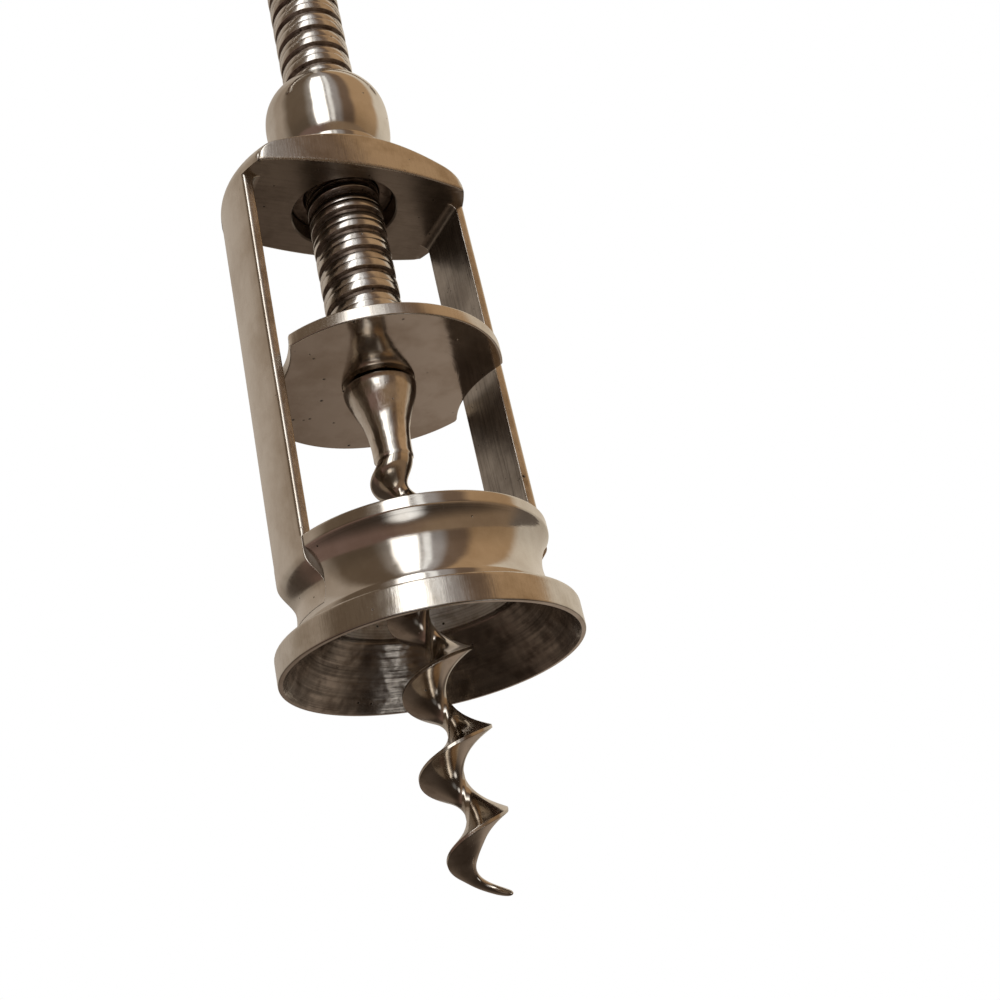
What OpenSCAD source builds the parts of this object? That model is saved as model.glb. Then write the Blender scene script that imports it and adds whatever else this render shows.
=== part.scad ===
// Open-frame corkscrew.
// The bell sits on the bottle's lip. Turning the handle screws the spindle down through the ball nut,
// which drives the worm into the cork; turning it back lifts the worm and the cork into the frame.
// Z runs up the spindle, the posts stand on the X axis, and z = 0 is the mouth of the bell.

/* [Bell] */
// Diameter of the mouth that drops over the bottle's lip
mouth_d = 34.4; // [31:0.1:38]
// Width of the flange's foot, outwards from the mouth's edge
lip_w = 0.55; // [0.4:0.05:1.2]
// Height of the flange
flange_h = 3.4; // [2.6:0.1:4.4]
// Diameter of the throat that the cork comes up through
throat_d = 23.6; // [21:0.1:25]
// Height of the tapered seat between mouth and throat
seat_h = 7.5; // [6.5:0.1:9]
// Wall of the small step above the flange, outside the tapered seat
step_wall = 0.5; // [0.4:0.05:1]
// Height of the step
step_h = 1.5; // [1:0.1:2]
// Diameter of the upper rim
rim_d = 33; // [32.6:0.1:34]
// Height of the upper rim
rim_h = 1.9; // [1.7:0.1:2.6]
// Size of the turned-off lower edge of the rim
rim_round = 1.2; // [0.6:0.1:1.3]
// Height of the whole bell
bell_h = 13.8; // [12.4:0.1:15]
// Radius of the turned hollow between step and rim
hollow_r = 7.6; // [6.5:0.1:9]
// Bevel on the turned edges of bell, nut and handle
edge = 0.3; // [0.1:0.05:0.5]

/* [Frame] */
// Diameter over the turned outer faces of the posts
frame_d = 32.6; // [32:0.1:33]
// Clear width between the posts
post_gap = 28.8; // [28:0.1:29.2]
// Width of each post, seen from outside
post_w = 9.5; // [7:0.1:10]
// Bevel along the outer edges of each post
post_bevel = 0.2; // [0.1:0.05:0.4]
// How much further in each post's foot reaches inside the bell
foot_depth = 0.9; // [0.5:0.1:1]
// Height of the post's end above the bell's step
foot_rise = 0.8; // [0.6:0.1:1.2]
// Height of the bridge's underside above the mouth
window_top = 64.4; // [58:0.1:72]
// Radius of the corner between post and bridge
corner_r = 1.2; // [0.6:0.1:2]
// Diameter at the toe of each post, where its cove ends
toe_d = 29.4; // [29.2:0.1:30.2]
// Radius of the cove above the toe
cove_r = 8; // [6:0.1:9]
// Height of the cove's narrowest point above the step
cove_rise = 2.1; // [1:0.1:3]
// Radius of the rounded shoulder over the posts
shoulder_r = 3; // [2:0.1:5]
// Slope of the bridge's turned roof, in degrees
roof_deg = 22; // [14:0.5:28]
// Height of the roof's flat above the bridge's underside
roof_h = 5.9; // [5:0.1:8]
// Diameter of the flat that the ball nut sits on
roof_flat_d = 15.2; // [14.8:0.1:17]
// Depth of the bridge at its middle, front to back
bridge_mid_w = 19.4; // [17:0.1:22]
// Depth of the bridge over its ends
bridge_end_w = 14.7; // [12:0.1:16]
// Diameter of the hole through the bridge
bridge_hole_d = 14; // [12.6:0.1:14.4]

/* [Ball nut] */
// Widest diameter of the ball
ball_d = 16.9; // [16:0.1:19]
// Radius of the ball's rounded side
ball_round = 5.5; // [5:0.1:6.6]
// Height of the ball's middle above its seat on the bridge
ball_rise = 9.5; // [8.6:0.1:11]
// Height of the ball's flat top above its middle
ball_top = 4.9; // [4.2:0.1:5]
// Radius of the ball's belly, below its rounded side
belly_r = 8.4; // [8:0.1:9]
// Height of the belly's middle above the seat
belly_rise = 7.3; // [6.8:0.1:8]
// Height of the collar on the bridge
collar_h = 2; // [1:0.1:2.6]
// Depth of the spigot in the bridge's hole
spigot_h = 3.3; // [2:0.1:4.5]
// Bevel round the mouth of the bore
bore_bevel = 0.5; // [0.2:0.1:0.8]

/* [Spindle] */
// Diameter over the square thread
spindle_d = 10; // [9:0.1:11]
// Length of the spindle between plate and handle
spindle_len = 77.2; // [70:0.1:90]
// Lead of the thread, one turn
thread_pitch = 3.2; // [2.8:0.1:4]
// Depth of the thread's groove
thread_depth = 0.6; // [0.3:0.05:0.9]
// Width of the groove at its floor
groove_w = 0.5; // [0.3:0.05:0.8]
// Width of each sloping side of the groove
groove_side = 0.15; // [0.05:0.05:0.3]
// Plain length below the thread's first turn
thread_start = 0.7; // [0.4:0.1:2]
// Angle at which the thread starts, in degrees
thread_phase = 273; // [0:1:359]
// Diameter of the tenon that holds the handle
top_tenon_d = 7; // [6:0.1:8]
// Length of that tenon
top_tenon_len = 7; // [5:0.1:8]

/* [Guide plate] */
// Height of the plate's underside above the mouth, as photographed
plate_z = 37; // [30:0.1:45]
// Diameter of the plate
plate_d = 31.7; // [30.6:0.1:32.6]
// Thickness of the plate
plate_t = 1.65; // [1.2:0.05:2.4]
// Radius of the scallops that run along the posts
scallop_r = 16.6; // [14:0.1:20]
// Bevel on the plate's edges
plate_edge = 0.15; // [0.05:0.05:0.4]

/* [Worm] */
// Diameter over the blade
worm_d = 9.2; // [8.4:0.1:10.5]
// Diameter of the core
core_d = 0.9; // [0.7:0.1:2]
// Pitch of the blade
worm_pitch = 9.4; // [8.4:0.1:10.5]
// Length of the worm below the shank
worm_len = 54.6; // [48:0.1:62]
// Direction of the blade where it leaves the shank, in degrees
worm_phase = 234; // [0:1:359]
// Part of a turn that the blade's rim takes up, in degrees
rim_arc = 12; // [8:1:30]
// Part of a turn over which the blade thins into the core, in degrees
root_arc = 98; // [60:1:110]
// How hollow the blade's flanks are, 1 being straight
flank_power = 1.6; // [1:0.1:2.4]
// Length over which the blade grows out of the shank
grow_len = 5; // [3:0.1:8]
// Length over which the blade narrows before its point
narrow_len = 13; // [8:0.1:16]
// Length over which the blade is drawn to its point
tip_len = 6.2; // [3:0.1:8]
// Distance of the point's outer side from the axis
tip_r = 3.2; // [2:0.1:4.2]
// Thickness of the blunt point
tip_d = 1.1; // [0.6:0.1:1.6]
// Diameter of the shank's head under the plate
head_d = 9.4; // [8:0.1:10]
// Diameter of the shank where the worm starts
shank_d = 4.9; // [4:0.1:6]
// Step between shank and worm, on the radius
neck_step = 0.15; // [0.1:0.05:0.3]
// Length of the shank
shank_len = 10.35; // [8:0.1:13]
// Bevel on top of the head
head_bevel = 0.6; // [0.3:0.1:0.9]
// Diameter of the tenon that joins worm and spindle
tenon_d = 5; // [4:0.1:6]
// Depth of that tenon in the spindle
tenon_depth = 9; // [6:0.1:12]

/* [Handle] */
// Length of the crossbar between the knobs
bar_len = 78; // [60:1:96]
// Diameter of the crossbar
bar_d = 8; // [7:0.1:9]
// Diameter of the knobs
knob_d = 13.6; // [12:0.1:16]
// Diameter of the stub in each knob
stub_d = 5; // [4:0.1:5.6]
// Length of the stub in each knob
stub_len = 7.5; // [5:0.1:8.5]
// Diameter of the hub's foot
hub_foot_d = 13; // [12:0.1:15]
// Height of the hub's foot
hub_foot_h = 2.4; // [1.6:0.1:3]
// Diameter of the hub's waist
hub_waist_d = 11.4; // [10.4:0.1:12]
// Diameter of the hub's ball
hub_ball_d = 17; // [15:0.1:19]
// Height of the crossbar above the hub's foot
bar_rise = 13; // [12.6:0.1:15]
// Diameter of the pin through hub and tenon
pin_d = 2; // [1.6:0.1:2.6]
// Height of that pin above the hub's foot
pin_rise = 4.4; // [3.8:0.1:5.2]

/* [Clearances] */
// Running clearance round the spindle, on the radius
run_clear = 0.1; // [0.05:0.01:0.2]
// Clearance of the plate's bore round the tenon, on the radius
plate_clear = 0.1; // [0.05:0.01:0.2]
// End play of the plate above and below
end_play = 0.15; // [0.05:0.05:0.3]
// Gap between the scallops and the posts
post_clear = 1.75; // [0.8:0.05:2.2]
// Clearance of the parts that are soldered or pinned together
fit_clear = 0.02; // [0.01:0.01:0.05]
// Room left beyond the point of a tenon or stub
end_room = 0.4; // [0.2:0.1:1]

/* [Hidden] */
$fn = 96;
// Sides round the thread and the worm, and points along a drawn curve
thread_sides = 28;
worm_sides = 24;
curve_points = 14;
// How far a cutting shape runs past what it cuts
past = 1;
// How far inside the shoulder's round the roof's slope starts
roof_lap = 0.05;
// How far a post's deeper foot runs into the post
foot_lap = 0.3;
// Straight run left above and below the bell's hollow
hollow_land = 0.1;

mouth_r = mouth_d / 2;
throat_r = throat_d / 2;
flange_r = mouth_r + lip_w;
step_r = mouth_r - (mouth_r - throat_r) * flange_h / seat_h + step_wall;
rim_r = rim_d / 2;
step_top = flange_h + step_h;
rim_low = bell_h - rim_h;
rim_cut = rim_round * (1 - cos(45));
// Centre of the circle that runs from the step's top to the rim's lower edge
brow_r = rim_r - rim_round;
hollow_chord = [brow_r - step_r, rim_low - step_top];
hollow_half = norm(hollow_chord) / 2;
hollow_out = sqrt(hollow_r ^ 2 - (hollow_half - hollow_land) ^ 2) / (2 * hollow_half);
hollow_x = (step_r + brow_r) / 2 + hollow_chord.y * hollow_out;
hollow_z = (step_top + rim_low) / 2 - hollow_chord.x * hollow_out;

frame_r = frame_d / 2;
post_in = post_gap / 2;
foot_in = post_in - foot_depth;
foot_z = step_top + foot_rise;
// Where the bevel starts on a post's side, and how far in it has come beyond the turned face
bevel_x = sqrt(frame_r ^ 2 - (post_w / 2) ^ 2) - post_bevel;
bevel_in = frame_r + past - bevel_x;
toe_r = toe_d / 2;
roof_top = window_top + roof_h;
roof_flat_r = roof_flat_d / 2;
// Centre of the shoulder, which meets the posts' outer faces and the roof smoothly
shoulder_x = frame_r - shoulder_r;
shoulder_z = roof_top - (shoulder_x - roof_flat_r) * tan(roof_deg) - shoulder_r / cos(roof_deg);
roof_start = shoulder_r - roof_lap;
// Radius of the bridge's curved front and back
bridge_sag = (bridge_mid_w - bridge_end_w) / 2;
bridge_bow_r = (frame_r ^ 2 + bridge_sag ^ 2) / (2 * bridge_sag);

spindle_r = spindle_d / 2;
nut_bore_r = spindle_r + run_clear;
ball_z = roof_top + ball_rise;

plate_r = plate_d / 2;
plate_top = plate_z + plate_t;
scallop_x = post_in - post_clear + scallop_r;
spindle_z = plate_top + end_play;
hub_z = spindle_z + spindle_len;

// The thread's four lines are the two edges of the crest and the two edges of the groove's floor
crest_w = thread_pitch - groove_w - 2 * groove_side;
thread_lines = [0, crest_w, crest_w + groove_side, crest_w + groove_side + groove_w];
thread_z = spindle_z + thread_start;
thread_turns = floor((spindle_len - 2 * thread_start) / thread_pitch) - 1;
thread_steps = thread_turns * thread_sides;
crest_points = thread_steps + thread_sides + 1;
line_points = thread_steps + 1;

head_z = plate_z - end_play;
worm_z = head_z - shank_len;
worm_r = worm_d / 2;
core_r = core_d / 2;
tip_mid = tip_r - tip_d / 2;
shank_r = shank_d / 2;
neck_r = shank_r - neck_step;
worm_rings = ceil(worm_len / worm_pitch * worm_sides);

bar_z = hub_z + bar_rise;
hub_ball_r = hub_ball_d / 2;
knob_r = knob_d / 2;
knob_x = bar_len / 2 + sqrt(knob_r ^ 2 - (bar_d / 2) ^ 2);

nickel = [0.74, 0.70, 0.63];
steel = [0.45, 0.43, 0.40];

// Share of the groove's full depth at a step along the thread, with half a turn of run-out at each end
function groove_share(step) =
    max(0, min(1, 2 * step / thread_sides, 2 * (thread_steps - step) / thread_sides));

function thread_point(line, step) =
    let (
        angle = thread_phase + 360 * step / thread_sides,
        r = spindle_r - (line < 2 ? 0 : thread_depth * groove_share(step))
    )
    [r * cos(angle), r * sin(angle), thread_z + thread_lines[line] + thread_pitch * step / thread_sides];

function thread_index(line, step) =
    line == 0 ? step : crest_points + (line - 1) * line_points + step;

function end_point(step, z) =
    let (angle = thread_phase + 360 * step / thread_sides)
    [spindle_r * cos(angle), spindle_r * sin(angle), z];

function end_index(top, step) =
    crest_points + 3 * line_points + (top ? thread_sides : 0) + step % thread_sides;

// Two triangles of a four-sided patch
function patch(a, b, c, d) = [[a, b, c], [a, c, d]];

// Triangles of a flat many-sided patch, spread from its first corner
function fan(corners) =
    [for (i = [1 : len(corners) - 2]) [corners[0], corners[i], corners[i + 1]]];

// Height of the blade above the core, from 0 to 1, at an angle from the blade's middle
function blade_share(angle) =
    let (off = max(0, min(1, (abs(angle) - rim_arc / 2) / root_arc)))
    (1 - off) ^ flank_power;

// Smooth step from 0 to 1
function ease(t) = let (u = max(0, min(1, t))) u * u * (3 - 2 * u);

// One ring of the worm, at a depth below the shank: round core, blade on one side, drawn to a blunt point
function worm_ring(depth) =
    let (
        turn = worm_phase - 360 * depth / worm_pitch,
        grown = ease(depth / grow_len),
        narrowed = ease((depth - worm_len + narrow_len) / narrow_len),
        drawn = ease((depth - worm_len + tip_len) / tip_len),
        core = neck_r + (core_r - neck_r) * grown,
        out = neck_r + (worm_r - neck_r) * grown + (tip_r - worm_r) * narrowed
    )
    [for (k = [0 : worm_sides - 1])
        let (
            angle = 360 * k / worm_sides - 180,
            r = core + (out - core) * blade_share(angle),
            x = (1 - drawn) * r * cos(angle) + drawn * (tip_mid + tip_d / 2 * cos(angle)),
            y = (1 - drawn) * r * sin(angle) + drawn * tip_d / 2 * sin(angle)
        )
        [x * cos(turn) - y * sin(turn), x * sin(turn) + y * cos(turn), worm_z - depth]];

// Radius of the vase-shaped shank at a share of its height
function shank_at(share) =
    shank_r + (head_d / 2 - shank_r) * (1 - cos(180 * share ^ 1.5)) / 2;

module bell_profile() {
    difference() {
        polygon([
            [mouth_r, 0],
            [flange_r - edge, 0],
            [flange_r, edge],
            [flange_r, flange_h - edge],
            [flange_r - edge, flange_h],
            [step_r, flange_h],
            [step_r, step_top],
            [brow_r, rim_low],
            [rim_r - rim_cut, rim_low + rim_cut],
            [rim_r, rim_low + rim_round],
            [rim_r, bell_h - edge],
            [rim_r - edge, bell_h],
            [throat_r, bell_h],
            [throat_r, seat_h],
        ]);
        translate([hollow_x, hollow_z])
            circle(r = hollow_r);
    }
}

// Half section of the turned frame: straight sides, cove at the toe, round shoulder and sloping roof
module frame_profile() {
    difference() {
        union() {
            translate([0, step_top])
                square([frame_r, shoulder_z - step_top]);
            translate([shoulder_x, shoulder_z])
                circle(r = shoulder_r);
            polygon([
                [0, shoulder_z],
                [shoulder_x, shoulder_z],
                [shoulder_x + roof_start * sin(roof_deg), shoulder_z + roof_start * cos(roof_deg)],
                [roof_flat_r, roof_top],
                [0, roof_top],
            ]);
        }
        translate([toe_r + cove_r, step_top + cove_rise])
            circle(r = cove_r);
    }
}

// Space of the right-hand post, before the turned outline trims it
module post_block() {
    translate([0, 0, foot_z])
        linear_extrude(window_top - foot_z)
            polygon([
                [post_in, -post_w / 2],
                [bevel_x, -post_w / 2],
                [frame_r + past, bevel_in - post_w / 2],
                [frame_r + past, post_w / 2 - bevel_in],
                [bevel_x, post_w / 2],
                [post_in, post_w / 2],
            ]);
    translate([foot_in, -post_w / 2, foot_z])
        cube([foot_depth + foot_lap, post_w, bell_h - foot_z]);
    difference() {
        translate([post_in - corner_r, -post_w / 2, window_top - corner_r])
            cube([2 * corner_r, post_w, corner_r]);
        translate([post_in - corner_r, post_w / 2 + past, window_top - corner_r])
            rotate([90, 0, 0])
                cylinder(r = corner_r, h = post_w + 2 * past);
    }
}

module post_right() {
    color(nickel)
        intersection() {
            rotate_extrude()
                frame_profile();
            post_block();
        }
}

module post_left() {
    mirror([1, 0, 0])
        post_right();
}

// Slot in the bell that the right-hand post's foot is let into
module post_slot() {
    translate([foot_in, -post_w / 2, foot_z])
        cube([frame_r, post_w, bell_h]);
}

module bell() {
    color(nickel)
        difference() {
            rotate_extrude()
                bell_profile();
            for (side = [0, 180])
                rotate([0, 0, side])
                    post_slot();
        }
}

// Part of the turned outline above the posts, from the hole outwards
module roof_profile() {
    intersection() {
        frame_profile();
        translate([bridge_hole_d / 2, window_top])
            square([frame_r, roof_h]);
    }
}

// Large cylinder whose near side is the bridge's curved front or back
module bridge_bow(side) {
    translate([0, side * (bridge_bow_r - bridge_mid_w / 2), window_top - past])
        cylinder(r = bridge_bow_r, h = roof_h + 2 * past);
}

module bridge() {
    color(nickel)
        intersection() {
            rotate_extrude()
                roof_profile();
            bridge_bow(1);
            bridge_bow(-1);
        }
}

module ball_nut_profile() {
    difference() {
        intersection() {
            union() {
                translate([ball_d / 2 - ball_round, ball_z])
                    circle(r = ball_round);
                translate([0, roof_top + belly_rise])
                    circle(r = belly_r);
                polygon([
                    [0, roof_top],
                    [roof_flat_d / 2, roof_top],
                    [roof_flat_d / 2, roof_top + collar_h - edge],
                    [roof_flat_d / 2 - edge, roof_top + collar_h],
                    [0, roof_top + collar_h],
                ]);
                translate([0, roof_top - spigot_h])
                    square([bridge_hole_d / 2 - fit_clear, spigot_h + collar_h]);
            }
            translate([nut_bore_r, roof_top - spigot_h])
                square([ball_d, spigot_h + ball_rise + ball_top]);
        }
        translate([nut_bore_r, ball_z + ball_top])
            rotate(45)
                square(bore_bevel * sqrt(2), center = true);
    }
}

module ball_nut() {
    color(nickel)
        rotate_extrude()
            ball_nut_profile();
}

module guide_plate() {
    color(nickel)
        difference() {
            rotate_extrude()
                polygon([
                    [tenon_d / 2 + plate_clear, plate_z],
                    [plate_r - plate_edge, plate_z],
                    [plate_r, plate_z + plate_edge],
                    [plate_r, plate_top - plate_edge],
                    [plate_r - plate_edge, plate_top],
                    [tenon_d / 2 + plate_clear, plate_top],
                ]);
            for (side = [-1, 1])
                translate([side * scallop_x, 0, plate_z - past])
                    cylinder(r = scallop_r, h = plate_t + 2 * past);
        }
}

module thread_rod() {
    crest = [for (i = [0 : crest_points - 1]) thread_point(0, i)];
    others = [for (line = [1 : 3]) for (i = [0 : line_points - 1]) thread_point(line, i)];
    ends = [for (z = [spindle_z, hub_z]) for (i = [0 : thread_sides - 1]) end_point(i, z)];
    last = thread_sides - 1;
    flights = [
        for (line = [0 : 2]) for (i = [0 : thread_steps - 1])
            each patch(
                thread_index(line, i),
                thread_index(line + 1, i),
                thread_index(line + 1, i + 1),
                thread_index(line, i + 1)
            ),
        for (i = [0 : thread_steps - 1])
            each patch(
                thread_index(3, i),
                thread_index(0, i + thread_sides),
                thread_index(0, i + 1 + thread_sides),
                thread_index(3, i + 1)
            ),
    ];
    lower = [
        for (i = [0 : last - 1])
            each patch(end_index(false, i), i, i + 1, end_index(false, i + 1)),
        each fan([
            last,
            thread_sides,
            thread_index(3, 0),
            thread_index(2, 0),
            thread_index(1, 0),
            0,
            end_index(false, 0),
            end_index(false, last),
        ]),
    ];
    upper = [
        each fan([
            thread_steps + 1,
            thread_steps,
            thread_index(1, thread_steps),
            thread_index(2, thread_steps),
            thread_index(3, thread_steps),
            thread_steps + thread_sides,
            end_index(true, 0),
            end_index(true, 1),
        ]),
        for (i = [1 : last])
            each patch(
                thread_steps + i,
                end_index(true, i),
                end_index(true, i + 1),
                thread_steps + i + 1
            ),
    ];
    caps = [
        each fan([for (i = [0 : last]) end_index(false, i)]),
        each fan([for (i = [last : -1 : 0]) end_index(true, i)]),
    ];
    polyhedron(concat(crest, others, ends), concat(flights, lower, upper, caps));
}

module threaded_spindle() {
    color(steel)
        difference() {
            union() {
                thread_rod();
                translate([0, 0, hub_z - past])
                    cylinder(d = top_tenon_d, h = top_tenon_len + past);
            }
            translate([0, 0, spindle_z - past])
                cylinder(d = tenon_d + 2 * fit_clear, h = tenon_depth + end_room + past);
            pin_hole();
        }
}

module worm_blade() {
    rings = [
        each worm_ring(-past),
        for (j = [1 : worm_rings - 1])
            each worm_ring(worm_len * j / worm_rings),
    ];
    point = len(rings);
    tip_turn = worm_phase - 360 * worm_len / worm_pitch;
    tip = [tip_mid * cos(tip_turn), tip_mid * sin(tip_turn), worm_z - worm_len];
    sides = [
        for (j = [0 : worm_rings - 2]) for (k = [0 : worm_sides - 1])
            let (next = (k + 1) % worm_sides)
            each patch(
                j * worm_sides + k,
                j * worm_sides + next,
                (j + 1) * worm_sides + next,
                (j + 1) * worm_sides + k
            ),
        for (k = [0 : worm_sides - 1])
            let (first = (worm_rings - 1) * worm_sides)
            [first + k, first + (k + 1) % worm_sides, point],
    ];
    cap = fan([for (k = [worm_sides - 1 : -1 : 0]) k]);
    polyhedron(concat(rings, [tip]), concat(sides, cap));
}

module shank() {
    outline = [for (i = [0 : curve_points]) [shank_at(i / curve_points), worm_z + shank_len * i / curve_points]];
    body = [for (p = outline) if (p.y < head_z - head_bevel) p];
    rotate_extrude()
        polygon(concat(
            [[0, worm_z]],
            body,
            [
                [head_d / 2, head_z - head_bevel],
                [head_d / 2 - head_bevel, head_z],
                [0, head_z],
            ]
        ));
}

module worm() {
    color(steel)
        union() {
            shank();
            translate([0, 0, head_z - past])
                cylinder(d = tenon_d, h = past + 2 * end_play + plate_t + tenon_depth);
            worm_blade();
        }
}

module pin_hole() {
    translate([0, hub_foot_d, hub_z + pin_rise])
        rotate([90, 0, 0])
            cylinder(d = pin_d + 2 * fit_clear, h = 2 * hub_foot_d);
}

module hub_profile() {
    polygon([
        [0, hub_z],
        [hub_foot_d / 2 - edge, hub_z],
        [hub_foot_d / 2, hub_z + edge],
        [hub_foot_d / 2, hub_z + hub_foot_h - edge],
        [hub_foot_d / 2 - edge, hub_z + hub_foot_h],
        [hub_waist_d / 2, hub_z + hub_foot_h],
        [hub_waist_d / 2, bar_z],
        [0, bar_z],
    ]);
    intersection() {
        translate([0, bar_z])
            circle(r = hub_ball_r);
        translate([0, hub_z])
            square([hub_ball_d, bar_rise + hub_ball_d]);
    }
}

module handle_hub() {
    color(nickel)
        difference() {
            rotate_extrude()
                hub_profile();
            translate([0, 0, hub_z - past])
                cylinder(d = top_tenon_d + 2 * fit_clear, h = past + top_tenon_len + end_room);
            translate([-hub_ball_d, 0, bar_z])
                rotate([0, 90, 0])
                    cylinder(d = bar_d + 2 * fit_clear, h = 2 * hub_ball_d);
            pin_hole();
        }
}

module hub_pin() {
    pin_len = hub_waist_d;
    color(steel)
        translate([0, pin_len / 2, hub_z + pin_rise])
            rotate([90, 0, 0])
                cylinder(d = pin_d, h = pin_len);
}

module handle_bar() {
    color(nickel)
        translate([0, 0, bar_z])
            rotate([0, 90, 0])
                rotate_extrude()
                    polygon([
                        [0, -bar_len / 2 - stub_len],
                        [stub_d / 2, -bar_len / 2 - stub_len],
                        [stub_d / 2, -bar_len / 2],
                        [bar_d / 2, -bar_len / 2],
                        [bar_d / 2, bar_len / 2],
                        [stub_d / 2, bar_len / 2],
                        [stub_d / 2, bar_len / 2 + stub_len],
                        [0, bar_len / 2 + stub_len],
                    ]);
}

module knob_profile() {
    difference() {
        intersection() {
            translate([0, knob_x])
                circle(r = knob_r);
            translate([0, bar_len / 2])
                square([knob_d, 2 * knob_d]);
        }
        translate([0, bar_len / 2 - past])
            square([stub_d / 2 + fit_clear, past + stub_len + end_room]);
    }
}

module knob_right() {
    color(nickel)
        translate([0, 0, bar_z])
            rotate([0, 90, 0])
                rotate_extrude()
                    knob_profile();
}

module knob_left() {
    mirror([1, 0, 0])
        knob_right();
}

bell();
post_left();
post_right();
bridge();
ball_nut();
guide_plate();
threaded_spindle();
worm();
handle_hub();
hub_pin();
handle_bar();
knob_left();
knob_right();
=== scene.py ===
import math

import bmesh
import bpy
import numpy as np
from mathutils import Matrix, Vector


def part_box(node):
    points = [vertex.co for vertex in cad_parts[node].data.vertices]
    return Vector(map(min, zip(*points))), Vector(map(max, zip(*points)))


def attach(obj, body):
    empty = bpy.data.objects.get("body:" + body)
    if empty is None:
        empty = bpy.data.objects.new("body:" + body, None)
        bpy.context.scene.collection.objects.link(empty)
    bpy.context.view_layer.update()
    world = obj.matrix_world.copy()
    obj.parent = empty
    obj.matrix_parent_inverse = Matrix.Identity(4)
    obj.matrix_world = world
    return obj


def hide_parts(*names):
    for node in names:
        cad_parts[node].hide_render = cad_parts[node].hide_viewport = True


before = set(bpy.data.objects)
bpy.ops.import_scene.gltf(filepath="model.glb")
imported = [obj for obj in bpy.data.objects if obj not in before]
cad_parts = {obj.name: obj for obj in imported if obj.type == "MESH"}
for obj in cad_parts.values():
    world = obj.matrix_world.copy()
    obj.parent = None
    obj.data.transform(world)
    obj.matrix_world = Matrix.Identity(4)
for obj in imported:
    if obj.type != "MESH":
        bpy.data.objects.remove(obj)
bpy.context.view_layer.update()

mm = 0.001                  # shapes are worked out in millimetres, meshes are in metres
weldGap = 0.002             # points closer than this are one point, mm
creaseDeg = 38              # edges sharper than this stay sharp
roundSteps = 5              # faces across a rounded edge
outlineFlat = 1.4           # an outline is flat from this many times a round's size off its corner
faceFlat = 1.5              # the same on the faces of posts, bridge and plate


# shapes

def nodeSpan(node):         # lowest and highest corner of a CAD node, mm
    low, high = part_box(node)
    return np.array(low) / mm, np.array(high) / mm


def ease(t):                # smooth step from 0 to 1
    t = np.clip(t, 0, 1)
    return t * t * (3 - 2 * t)


def easeOver(value, span):  # smooth step from 0 to 1 while a value crosses a span
    return ease((value - span[0]) / (span[1] - span[0]))


def circleAt(radius, away):     # half of a circle's chord at a distance from the circle's middle
    return np.sqrt(np.maximum(radius ** 2 - away ** 2, 0))


# the lesser of two values, with the change from one to the other rounded off
def softMin(a, b, blend):
    return np.minimum(a, b) - np.maximum(blend - np.abs(a - b), 0) ** 2 / (4 * blend)


# curve that leaves one point, bends towards the corner and ends in the other: a quadratic in t
def roundedCorner(start, corner, end):
    t = np.linspace(0, 1, roundSteps + 1).reshape(-1, *[1] * np.ndim(corner))
    return (1 - t) ** 2 * start + 2 * t * (1 - t) * corner + t ** 2 * end


# outline through corners (x, y, size): each corner with a size is cut back by it on both sides
# and rounded, with one more point beyond each end of the round so that flat stretches stay flat
def softOutline(corners):
    made = []
    for i, (x, y, size) in enumerate(corners):
        here = np.array([x, y], float)
        if size == 0:
            made.append(here[None])
            continue
        before = np.array(corners[i - 1][:2]) - here
        after = np.array(corners[(i + 1) % len(corners)][:2]) - here
        before, after = before / np.linalg.norm(before), after / np.linalg.norm(after)
        curve = roundedCorner(here + size * before, here, here + size * after)
        made.append(np.vstack([here + outlineFlat * size * before, curve,
                               here + outlineFlat * size * after]))
    return np.vstack(made)


def bareCorners(r, z):      # points of a curve, as corners without rounding
    return [(a, b, 0) for a, b in zip(r, z)]


# points of an arc about a point on the axis, as corners without rounding
def arcCorners(middle, radius, fromDeg, toDeg, count):
    t = np.radians(np.linspace(fromDeg, toDeg, count))
    return bareCorners(radius * np.cos(t), middle + radius * np.sin(t))


# corners of a piece that ends alike both ways, from the corners of its far end
def bothEnds(end):
    return [*[(r, -along, size) for r, along, size in end[::-1]], *end]


def sectionPoint(r, z):     # points (radius, height) of a section
    return np.stack(np.broadcast_arrays(r, z), -1)


def fullTurn(columns):      # directions of one turn, in radians
    return np.linspace(0, 2 * np.pi, columns, endpoint=False)


# radii and heights set round the Z axis: x = r cos a, y = r sin a
def setRound(r, z, angle):
    return np.stack(np.broadcast_arrays(r * np.cos(angle), r * np.sin(angle), z), -1)


def revolve(outline, columns=144):      # one outline (radius, height) carried round the Z axis
    return setRound(outline[:, :1], outline[:, 1:], fullTurn(columns))


# four-sided faces of a grid of points, closed round the rows or the columns where asked
def gridFaces(rows, columns, closedRows=False, closedColumns=True):
    row, column = np.meshgrid(np.arange(rows - (not closedRows)),
                              np.arange(columns - (not closedColumns)), indexing="ij")
    nextRow, nextColumn = (row + 1) % rows, (column + 1) % columns
    corners = [row * columns + column, row * columns + nextColumn,
               nextRow * columns + nextColumn, nextRow * columns + column]
    return np.stack(corners, -1).reshape(-1, 4)


def newMesh(name, points, faces, finishes):     # mesh of points in mm
    mesh = bpy.data.meshes.new(name)
    mesh.from_pydata((points.reshape(-1, 3) * mm).tolist(), [],
                     [list(map(int, face)) for face in faces])
    for finish in finishes:
        mesh.materials.append(finish)
    return mesh


def linkObject(name, data):     # object of a mesh, a lamp or a camera, put in the scene
    thing = bpy.data.objects.new(name, data)
    bpy.context.scene.collection.objects.link(thing)
    return thing


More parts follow.
